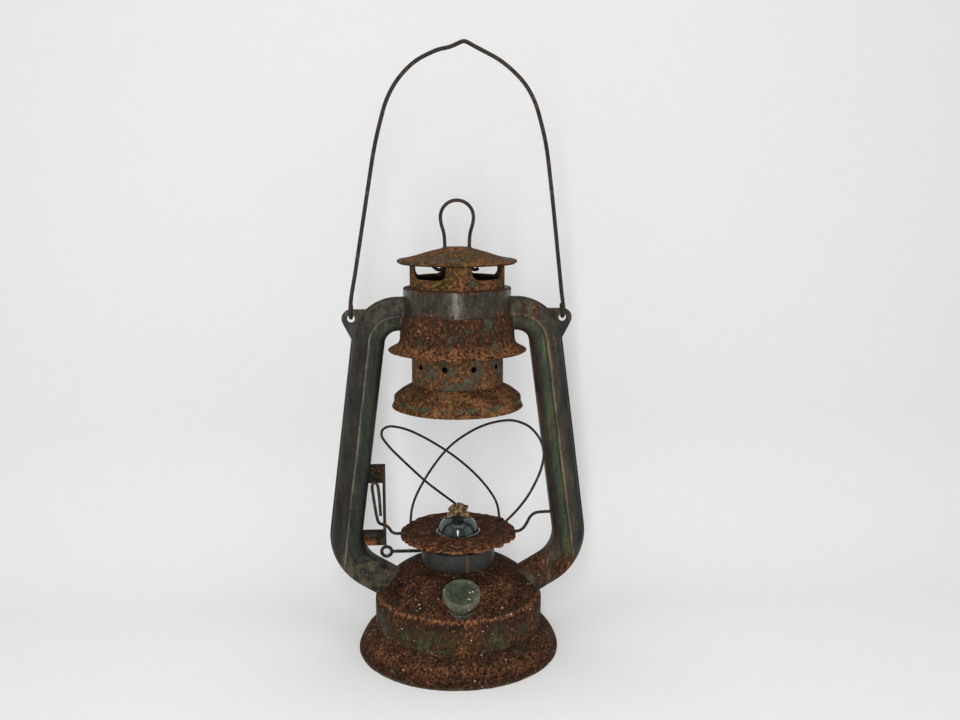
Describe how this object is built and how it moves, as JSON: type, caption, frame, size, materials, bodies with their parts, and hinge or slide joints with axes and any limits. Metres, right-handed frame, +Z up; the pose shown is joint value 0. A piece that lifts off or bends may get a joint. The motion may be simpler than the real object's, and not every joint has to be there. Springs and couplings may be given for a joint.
{
  "type": "barn lantern",
  "caption": "Paraffin barn lantern without its glass: round tank, two side air tubes, vented chimney, wick burner, tilting globe plate with wire guards and a swinging wire bail.",
  "frame": {"origin": "centre of the base rim, on the plane the lantern stands on", "axes": "+Z up; the two side tubes lie in the XZ plane; -Y is the front, where the filler cap is; the wick key is on the -X side"},
  "size_m": [0.1522, 0.12, 0.3547],
  "materials": {
    "rusted_skirt": "flaking paint over rust",
    "rusted_tank": "flaking paint over rust",
    "inner_sheet": "dull rusted sheet",
    "cap_paint": "worn satin paint",
    "gasket": "dry cork and leather",
    "dark_enamel": "semi-gloss paint",
    "dome_enamel": "glossy dark paint",
    "wick_cotton": "charred cotton",
    "dark_wire": "dull oxidised wire",
    "tube_paint": "weathered green-grey paint",
    "worn_band": "worn grey metal with rust",
    "rusted_crown": "rusted sheet",
    "rusted_plate": "heavy flaking rust"
  },
  "bodies": {
    "frame": {"base_skirt": "rusted_skirt", "fount_shell": "rusted_tank", "fount_bottom": "rusted_tank", "air_chamber_floor": "inner_sheet", "filler_neck": "cap_paint", "burner_collar": "dark_enamel", "burner_body": "inner_sheet", "wick_tube": "inner_sheet", "burner_dome": "dome_enamel", "tube_left_front": "tube_paint", "tube_left_back": "tube_paint", "tube_right_front": "tube_paint", "tube_right_back": "tube_paint", "crown_band": "worn_band", "crown_skirt": "rusted_crown", "lift_guide": "rusted_plate", "chimney_spring": "dark_wire"},
    "chimney": {"chimney_tube": "rusted_crown", "vent_gallery": "rusted_crown", "chimney_cap": "rusted_crown", "pull_ring": "dark_wire", "globe_bell": "rusted_crown"},
    "bail": {"bail_wire": "dark_wire"},
    "globe_lift": {"lift_wire": "dark_wire", "globe_plate": "rusted_plate", "guard_wire_left": "dark_wire", "guard_wire_right": "dark_wire"},
    "wick_spindle": {"wick_key": "dark_wire", "wick_wheels": "inner_sheet"},
    "wick": {"wick": "wick_cotton"},
    "cap_gasket": {"filler_gasket": "gasket"},
    "cap": {"filler_cap": "cap_paint"}
  },
  "joints": [
    {"name": "bail_swing", "type": "hinge", "parent": "frame", "child": "bail", "pos_m": [0, 0, 0.2045], "axis": [1, 0, 0], "range_deg": [-135, 135]},
    {"name": "chimney_lift", "type": "slide", "parent": "frame", "child": "chimney", "axis": [0, 0, 1], "range_m": [0, 0.015], "stiffness_N_per_m": 60, "springref_m": -0.01, "deforming": ["chimney_spring"]},
    {"name": "globe_lift_tilt", "type": "hinge", "parent": "frame", "child": "globe_lift", "pos_m": [0.0556, 0, 0.0824], "axis": [0, 1, 0], "range_deg": [0, 7]},
    {"name": "wick_turn", "type": "hinge", "parent": "frame", "child": "wick_spindle", "pos_m": [0, 0.0048, 0.0576], "axis": [1, 0, 0], "range_deg": [0, 150]},
    {"name": "wick_raise", "type": "slide", "parent": "frame", "child": "wick", "axis": [0, 0, 1], "range_m": [0, 0.0089]},
    {"name": "cap_travel", "type": "slide", "parent": "frame", "child": "cap_gasket", "axis": [0, -0.3987, 0.9171], "range_m": [0, 0.0045]},
    {"name": "cap_turn", "type": "hinge", "parent": "cap_gasket", "child": "cap", "pos_m": [0, -0.047, 0.052], "axis": [0, -0.3987, 0.9171], "range_deg": [0, 540]}
  ],
  "couplings": [
    {"joint": "wick_turn", "follows": "wick_raise", "rad_per_m": 294.12},
    {"joint": "cap_turn", "follows": "cap_travel", "rad_per_m": 2094.4}
  ]
}
